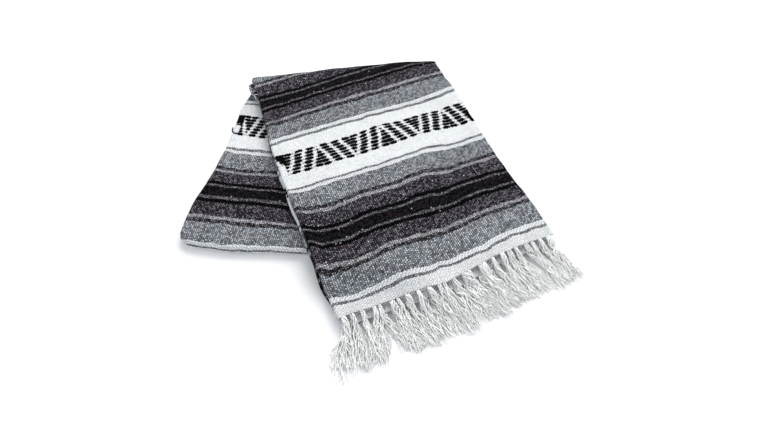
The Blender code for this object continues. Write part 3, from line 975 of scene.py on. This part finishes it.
class Web:
    """Wires the nodes of one material."""

    def __init__(self, name):
        self.material = bpy.data.materials.new(name)
        self.material.use_nodes = True
        self.nodes = self.material.node_tree.nodes
        self.links = self.material.node_tree.links
        self.shader = self.nodes["Principled BSDF"]

    def set(self, socket, value):
        if isinstance(value, Value):
            self.links.new(value.socket, socket)
        else:
            socket.default_value = value

    def fill(self, node, values, output=0):
        """Fill a node's inputs and give back one of its outputs."""
        for key, value in values.items():
            self.set(node.inputs[key], value)
        return Value(self, node.outputs[output])

    def math(self, operation, *values):
        node = self.nodes.new("ShaderNodeMath")
        node.operation = operation
        return self.fill(node, dict(enumerate(values)))

    def step(self, value, low, high):
        """0 at low, 1 at high, smooth between them."""
        node = self.nodes.new("ShaderNodeMapRange")
        node.interpolation_type = "SMOOTHSTEP"
        return self.fill(node, {"Value": value, "From Min": low, "From Max": high}, "Result")

    def before(self, value, edge, soft):
        """1 before an edge and 0 after it, or the other way round with a negative softness."""
        return self.step(value, edge + soft, edge - soft)

    def mix(self, share, low, high):
        node = self.nodes.new("ShaderNodeMix")
        node.data_type = "RGBA"
        return self.fill(node, {"Factor": share, "A": low, "B": high}, "Result")

    def point(self, x, y):
        return self.fill(self.nodes.new("ShaderNodeCombineXYZ"), {0: x, 1: y})

    def noise(self, x, y, scale, detail=2.0):
        node = self.nodes.new("ShaderNodeTexNoise")
        node.noise_dimensions = "2D"
        vector = self.point(x * scale[0], y * scale[1])
        return self.fill(node, {"Vector": vector, "Scale": 1.0, "Detail": detail}, "Fac")

    def chance(self, x, y):
        """An even random value for each whole x and y."""
        node = self.nodes.new("ShaderNodeTexWhiteNoise")
        node.noise_dimensions = "2D"
        return self.fill(node, {"Vector": self.point(x, y)}, "Value")

    def uv(self, name):
        node = self.nodes.new("ShaderNodeUVMap")
        node.uv_map = name
        apart = self.nodes.new("ShaderNodeSeparateXYZ")
        self.links.new(node.outputs[0], apart.inputs[0])
        return Value(self, apart.outputs[0]), Value(self, apart.outputs[1])

    def scaled(self, colour, gain):
        """A colour made darker or lighter."""
        node = self.nodes.new("ShaderNodeVectorMath")
        node.operation = "SCALE"
        return self.fill(node, {0: colour, "Scale": gain})

    def ramp(self, value, stops):
        """Steps of colour: each stop is a share and the colour from there on."""
        node = self.nodes.new("ShaderNodeValToRGB")
        node.color_ramp.interpolation = "CONSTANT"
        elements = node.color_ramp.elements
        for element, (share, colour) in zip(elements, stops):
            element.position, element.color = share, (*colour, 1)
        for share, colour in stops[2:]:
            elements.new(share).color = (*colour, 1)
        self.set(node.inputs["Fac"], value)
        return Value(self, node.outputs["Color"])

    def split(self, colour):
        node = self.nodes.new("ShaderNodeSeparateColor")
        self.set(node.inputs[0], colour)
        return [Value(self, output) for output in node.outputs]

    def finish(self, colour, relief, distance, strength, roughness, specular, sheen=0.0):
        """Wire the colour and the relief to the shader, and give back the material."""
        self.set(self.shader.inputs["Base Color"], colour)
        bump = self.nodes.new("ShaderNodeBump")
        normal = self.fill(bump, {"Strength": strength, "Distance": distance, "Height": relief}, "Normal")
        self.set(self.shader.inputs["Normal"], normal)
        self.shader.inputs["Roughness"].default_value = roughness
        self.shader.inputs["Specular IOR Level"].default_value = specular
        self.shader.inputs["Sheen Weight"].default_value = sheen
        return self.material


WARP = 0.0029
WARP_WANDER = 0.0014
WANDER_SCALE = (70.0, 16.0)
WOBBLE = 0.0026
WOBBLE_SCALE = (70.0, 45.0)
SMALL_WOBBLE = 0.00040
SMALL_WOBBLE_PITCH = 0.0050
PICK = 0.0026
PICK_SLIP = 0.10
SLUB_SCALE = (130.0, 3.7)
PATCH_SCALE = (24.0, 30.0)
FIBRE_SCALE = (420.0, 1250.0)
FIBRE_SLOPE = -0.45
GRAIN_SCALE = (650.0, 650.0)
MAROON_SCALE = (90.0, 160.0)
BEAD_LEAN = math.radians(22)
BEAD_LONG = 0.00138
BEAD_THICK = 0.00086
BANDS = (
    # distance from the black band's middle, ground colour, colour of the raised beads of yarn,
    # and shares of rope hatch, heather and how many beads are light
    (0.0, (0.0003, 0.0003, 0.0005), (0.09, 0.088, 0.096), (0.0, 0.6, 0.22)),
    (0.0082, (0.03, 0.029, 0.033), (0.3, 0.29, 0.315), (0.0, 0.6, 0.8)),
    (0.013, (0.0003, 0.0003, 0.0005), (0.03, 0.029, 0.033), (0.0, 0.5, 0.2)),
    (0.019, (0.002, 0.0016, 0.0026), (0.64, 0.605, 0.69), (0.0, 1.0, 0.28)),
    (0.043, (0.17, 0.167, 0.183), (0.64, 0.63, 0.665), (0.0, 0.7, 0.85)),
    (0.048, (0.001, 0.001, 0.0014), (0.52, 0.51, 0.555), (0.0, 1.0, 0.34)),
    (0.054, (0.102, 0.109, 0.121), (0.6, 0.625, 0.665), (0.0, 1.0, 0.78)),
    (0.084, (0.81, 0.835, 0.85), (0.88, 0.895, 0.905), (1.0, 0.12, 0.9)),
    (0.0905, (0.125, 0.13, 0.141), (0.56, 0.57, 0.59), (0.5, 0.9, 0.8)),
    (0.0951, (0.75, 0.77, 0.781), (0.83, 0.85, 0.862), (0.0, 0.2, 0.9)),
    (0.1262, (0.75, 0.77, 0.781), (0.83, 0.85, 0.862), (0.0, 0.18, 0.9)),
)
ROPE_PITCH = 0.0050
ROPE_RISE = 0.0044
HEM_PITCH = 0.0054
HEM_RISE = 0.0036
HEM_AT = -0.0950
HEM_SOFT = 0.0006
DASH_ROW = 0.00685
DASH_PITCH = 0.0178
DASH_HALF = 0.0067
DASH_THICK = 0.0030
DASH_LEAN = 0.0022
DASH_FIRST = 0.0176
ROW_SLIP = 0.0026
RAGGED = 0.0030
RAGGED_SCALE = (420.0, 420.0)
CHEVRON = 0.0533
CHEVRON_AT = 0.065
DOT_PITCH = 0.0032
DOT_LONG = 0.00135
DOT_THICK = 0.00095
LINK_LONG = 0.00125
LINK_THICK = 0.0020
BAR = (0.3140, 0.3295)
BAR_SOFT = 0.0005
BLOCK_RIGHT = 0.0138
BLOCK_LEFT = 0.0105
BLOCK_SLANT = 0.62
BLOCK_SOFT = 0.0008
TOWARD_SOFT = 0.0010
SHARE_SOFT = 0.02
BLACK = (0.0016, 0.0016, 0.0024, 1)
MAROON = (0.058, 0.018, 0.048, 1)
FLECK = (0.62, 0.62, 0.63, 1)
CLOTH_BUMP = 0.0010


def woven_material(name):
    web = Web(name)
    noise, chance, mix, scaled = web.noise, web.chance, web.mix, web.scaled
    step, before = web.step, web.before
    u, place = web.uv("Cloth")
    wobble = (noise(u, place, WOBBLE_SCALE) - 0.5) * WOBBLE
    y = place + (wobble + (u * (math.tau / SMALL_WOBBLE_PITCH)).sine() * SMALL_WOBBLE)
    warp_at = (u + (noise(u, place, WANDER_SCALE) - 0.5) * WARP_WANDER) / WARP
    warp, in_warp = warp_at.floor(), warp_at.fract()

    # Weft yarns pass over every second warp, so each column of beads lies half a yarn off the last
    pick_at = y / PICK + (warp % 2.0 * 0.5 + chance(warp, 9.0) * PICK_SLIP)
    pick, in_pick = pick_at.floor(), pick_at.fract()

    # The stripes change only from one weft yarn to the next
    from_black = (((y / (PICK / 2)).floor() + 0.5) * (PICK / 2)).folded(HALF_REPEAT)
    stripe = from_black / HALF_REPEAT
    ground, raised, shares = [web.ramp(stripe, [(row[0] / HALF_REPEAT, row[k]) for row in BANDS])
                              for k in (1, 2, 3)]
    rope, heather, many = web.split(shares)[:3]
    hem = before(y, HEM_AT, HEM_SOFT)

    # Slubby yarn: each pick's shade changes along it, and each crossing differs a little
    slub = noise(u, pick, SLUB_SCALE, 3.0)
    patch = noise(u, y, PATCH_SCALE)
    fine = noise(u, y + u * FIBRE_SLOPE, FIBRE_SCALE)
    grain = noise(u, y, GRAIN_SCALE, 1.0)
    shade = (slub - 0.5) * 1.4 + (chance(warp, pick) - 0.5) * 0.9 + (patch - 0.5) + (grain - 0.5) * 1.1
    shade = shade * heather + (fine - 0.5) * 0.9
    ground = scaled(ground, (shade + 1.0).or_more(0.12))

    # A little maroon and purple fibre in the charcoal wool
    maroon = step(noise(u, y, MAROON_SCALE), 0.56, 0.70) * step(from_black, 0.052, 0.044) * (heather * 0.8)
    ground = mix(maroon * 0.45, ground, MAROON)

    # Raised beads of yarn, each leaning with the yarn's twist and with its own brightness
    local_x = (in_warp - 0.5) * WARP
    local_y = (in_pick - 0.5) * PICK
    lean_cos, lean_sin = math.cos(BEAD_LEAN), math.sin(BEAD_LEAN)
    bead_x = (local_x * lean_cos + local_y * lean_sin) / BEAD_LONG
    bead_y = (local_y * lean_cos + local_x * -lean_sin) / BEAD_THICK
    bead = step(bead_x * bead_x + bead_y * bead_y, 1.7, 0.2)
    light = (chance(warp + 31.0, pick) ** 1.8 * 1.5 + 0.12) * many + (grain - 0.5) * 0.30
    light = web.math("MINIMUM", light, 1.0).or_more(0.0)
    colour = mix(bead * light, ground, mix(maroon * 0.35, raised, MAROON))
    fleck = step(chance(warp, pick + 77.0), 0.9955, 0.9965)
    colour = mix(fleck * bead * heather, colour, FLECK)

    # Leaning hatch of the rope-like lines and of the hem, sunk in the relief; its grooves are darkened with
    # painted shade
    shaded_groove = 0.0
    for pitch, rise, share in ((ROPE_PITCH, ROPE_RISE, rope), (HEM_PITCH, HEM_RISE, hem * 0.60)):
        hatch = ((u / pitch + y / -rise + slub * 0.8) * math.tau).sine()
        shaded_groove = step(hatch, 0.1, 1.0) * share + shaded_groove
    # Painted shade: the colour is darker in the hatch's grooves
    colour = scaled(colour, 1.0 - shaded_groove * 0.42)

    # Painted shade: thin dark gaps between the columns of beads, darkened where shade falls between them;
    # they are also sunk in the relief
    shaded_gap = step(abs(local_x), WARP * 0.30, WARP * 0.48) * (heather * 0.80 + 0.02)
    colour = scaled(colour, 1.0 - shaded_gap * 0.55)

    # Band of nested black dashes
    from_middle = y % (2 * HALF_REPEAT) - HALF_REPEAT
    row = web.math("ROUND", from_middle / DASH_ROW)
    in_row = from_middle - row * DASH_ROW
    ragged = (noise(u, y, RAGGED_SCALE) - 0.5) * RAGGED
    slipped = u + (chance(row, 5.0) - 0.5) * ROW_SLIP
    chevron = (slipped + (2 * CHEVRON - CHEVRON_AT)).folded(CHEVRON)
    leaning = chevron + (row * DASH_LEAN + (DASH_PITCH / 2 - DASH_FIRST))
    aside = abs(leaning % DASH_PITCH - DASH_PITCH / 2 + ragged)
    up = abs(in_row + ragged * 0.4) / DASH_THICK
    dash = step((aside / DASH_HALF) ** 2.4 + up ** 2.2, 1.15, 0.85)

    # Black joins between the rows of dashes, and black dots between the dashes
    def spots(column, long, up, far, near, share):
        beside = (column.fract() - 0.5) * (DOT_PITCH / long)
        own = before(chance(column.floor(), row), share, -SHARE_SOFT)
        return step(beside * beside + up * up, far, near) * own

    to_next = (abs(in_row) - DASH_ROW / 2) / LINK_THICK
    link = spots(u / DOT_PITCH + row * 0.5, LINK_LONG, to_next, 1.2, 0.5, 0.24)
    link = link * step(aside, DASH_HALF * 0.95, DASH_HALF * 0.7)
    dot = spots(u / DOT_PITCH, DOT_LONG, in_row / DOT_THICK, 1.3, 0.3, 0.20)

    # Plain ends of the band: a bar at the right and a block at the left, turned over on the back leg
    within = step(abs(row), 3.6, 3.4) * step(abs(from_middle), 0.0242, 0.0236)
    right_bar = before(u, BAR[0], -BAR_SOFT) * before(u, BAR[1], BAR_SOFT)
    right_bar = right_bar * step(from_middle, 0.0045, 0.0030)
    back = step(u, 0.5 * BACK_SHIFT, 0.5 * BACK_SHIFT + 0.001)
    toward = from_middle * (1.0 - back * 2.0)
    left_u = u - back * BACK_SHIFT + ragged * 1.5
    slanted = left_u + toward * BLOCK_SLANT
    left_bar = before(left_u, BLOCK_RIGHT, BLOCK_SOFT) * before(slanted, BLOCK_LEFT, -BLOCK_SOFT)
    left_bar = left_bar * before(toward, 0.0, -TOWARD_SOFT)
    clear = before(left_u, BLOCK_LEFT, BLOCK_SOFT) * before(toward, 0.0, TOWARD_SOFT)
    dashes = dash.or_more((dot * 0.9).or_more(link)) * (1.0 - clear)
    mark = dashes.or_more(right_bar.or_more(left_bar)) * within

    rib = (in_pick * math.pi).sine() ** 0.6
    relief = rib * 0.30 + bead * 0.70 + shaded_groove * -0.9 + shaded_gap * -0.5 + mark * 0.5 + (fine - 0.5) * 0.9
    return web.finish(mix(mark, colour, BLACK), relief, CLOTH_BUMP, 0.9, 0.95, specular=0.03)


YARN_TWIST = 0.0036
YARN_BUMP = 0.0003
YARN_PATCH_SCALE = (90.0, 7.0)
UNDYED = (1.0, 1.0, 0.99)


def yarn_web(name):
    """A material's web, the place along the yarn, the yarn's number and its twist, which the yarn materials
    use as bump and as painted shade.
    """
    web = Web(name)
    along, around = web.uv("Yarn")
    return web, along, around.floor(), ((along / YARN_TWIST + around * 2.0) * math.tau).sine()


def yarn_material():
    web, along, number, twist = yarn_web("Fringe yarn")
    patch = web.noise(along, number, YARN_PATCH_SCALE)
    # Painted shade and highlight: the twist wave makes the colour a little darker in the twist's grooves and
    # lighter on its crests
    shade = web.chance(number, 3.0) * 0.08 + (patch - 0.5) * 0.12 + 0.84 + twist * 0.03
    return web.finish(web.scaled(UNDYED, shade), twist, YARN_BUMP, 0.4, 0.9, specular=0.15, sheen=0.05)


def dark_yarn_material():
    web, _, _, twist = yarn_web("Black yarn")
    # Painted shade and highlight: the twist wave darkens the black yarn in its grooves and makes it much
    # lighter on its crests
    return web.finish(web.scaled(BLACK[:3], twist * 0.6 + 1.2), twist, YARN_BUMP, 0.4, 0.9, specular=0.5)


# The object

cloth = woven_material("Woven cloth")
yarn = yarn_material()

front_ply = make_front_ply(cloth)
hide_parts("front_cloth")
back_ply = make_back_ply(cloth)
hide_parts("back_cloth")
folded_plies = make_folded_plies(cloth)
upper_hem_plies = make_sheets("upper_hem_plies", [hem_ply(number, out, 70 + number)
                                                  for number, out in UPPER_HEM], cloth)
lower_hem = make_sheets("lower_hem", [hem_ply(4, LOWER_HEM_OUT, 81, wrapped=True)], cloth)
lower_hem_plies = make_sheets("lower_hem_plies", [hem_ply(number, out, 90 + number)
                                                  for number, out in LOWER_HEM], cloth)
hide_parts("inner_layers")

upper_shifts = np.random.default_rng(97).uniform(-0.0036, 0.0036, TASSELS)
lower_shifts = np.random.default_rng(99).uniform(-0.0040, 0.0040, TASSELS)
upper_paths = np.concatenate([
    yarn_paths(101, 7, 0.0, 0.0022, YARN_LENGTH, 0.46, upper_shifts),
    yarn_paths(103, 6, 0.0, 0.0055, YARN_LENGTH * 0.95, 0.36, upper_shifts),
])
lower_paths = yarn_paths(107, 8, LOWER_HEM_OUT, 0.0118, YARN_LENGTH * 0.86, 0.24, lower_shifts)
upper_yarns = yarn_mesh("fringe_upper_yarns", upper_paths, 5, YARN_RADIUS, yarn)
lower_yarns = yarn_mesh("fringe_lower_yarns", lower_paths, 7, YARN_RADIUS, yarn)
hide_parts("fringe_upper")
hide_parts("fringe_lower")
fluff = yarn_mesh("fringe_fluff", fluff_paths(np.concatenate([upper_paths, lower_paths]), 131, 620), 9,
                  FLUFF_RADIUS, yarn, FLUFF_SIDES)
black_yarn = dark_yarn_material()
black_end = yarn_mesh("loose_black_end", black_end_path(), 13, BLACK_END_RADIUS, black_yarn)
frayed_ends = yarn_mesh("frayed_ends", frayed_paths(), 15, FRAYED_RADIUS, yarn, FLUFF_SIDES)

# Floor, light and camera

FLOOR_HALF = 6.0
floor_mesh = bpy.data.meshes.new("floor")
floor_mesh.from_pydata([(x * FLOOR_HALF, y * FLOOR_HALF, 0) for x, y in ((-1, -1), (1, -1), (1, 1), (-1, 1))],
                       [], [(0, 1, 2, 3)])
floor_material = bpy.data.materials.new("Pale floor")
floor_material.use_nodes = True
floor_shader = floor_material.node_tree.nodes["Principled BSDF"]
floor_shader.inputs["Base Color"].default_value = (0.855, 0.86, 0.865, 1)
floor_shader.inputs["Roughness"].default_value = 0.8
floor_mesh.materials.append(floor_material)
floor = bpy.data.objects.new("floor", floor_mesh)
bpy.context.scene.collection.objects.link(floor)

world = bpy.data.worlds.new("Soft room")
bpy.context.scene.world = world
world.use_nodes = True
sky = world.node_tree.nodes["Background"]
sky.inputs["Color"].default_value = (0.93, 0.96, 1.0, 1)
sky.inputs["Strength"].default_value = 0.68


def aimed(name, data, place, aim):
    """Put a lamp or a camera somewhere, turned toward a point."""
    thing = bpy.data.objects.new(name, data)
    bpy.context.scene.collection.objects.link(thing)
    thing.location = place
    x, y, z = np.array(aim) - np.array(place)
    thing.rotation_euler = (math.atan2(math.hypot(x, y), -z), 0.0, math.atan2(-x, y))
    return thing


LIGHTS = (
    # name, place, size, power, colour
    ("key", (0.8, 1.6, 2.0), (2.0, 2.0), 68.0, (1.0, 0.985, 0.965)),
    ("side", (2.2, -0.4, 1.5), (1.6, 0.9), 12.0, (1.0, 0.99, 0.98)),
    ("front fill", (-1.3, -1.8, 1.8), (2.0, 1.4), 16.5, (0.97, 0.98, 1.0)),
)
for name, place, size, power, colour in LIGHTS:
    lamp = bpy.data.lights.new(name, "AREA")
    lamp.shape = "RECTANGLE"
    lamp.size, lamp.size_y = size
    lamp.energy = power
    lamp.color = colour
    aimed(name, lamp, place, (0.0, 0.0, 0.0))

LENS = 25.58
CAMERA_AT = (-0.0532, -0.5466, 0.6242)
CAMERA_AIM = (0.0068, -0.0355, 0.0)
camera_data = bpy.data.cameras.new("camera")
camera_data.lens = LENS
camera_data.sensor_width = 36.0
bpy.context.scene.camera = aimed("camera", camera_data, CAMERA_AT, CAMERA_AIM)
bpy.context.scene.view_settings.view_transform = "Standard"

bpy.context.view_layer.update()
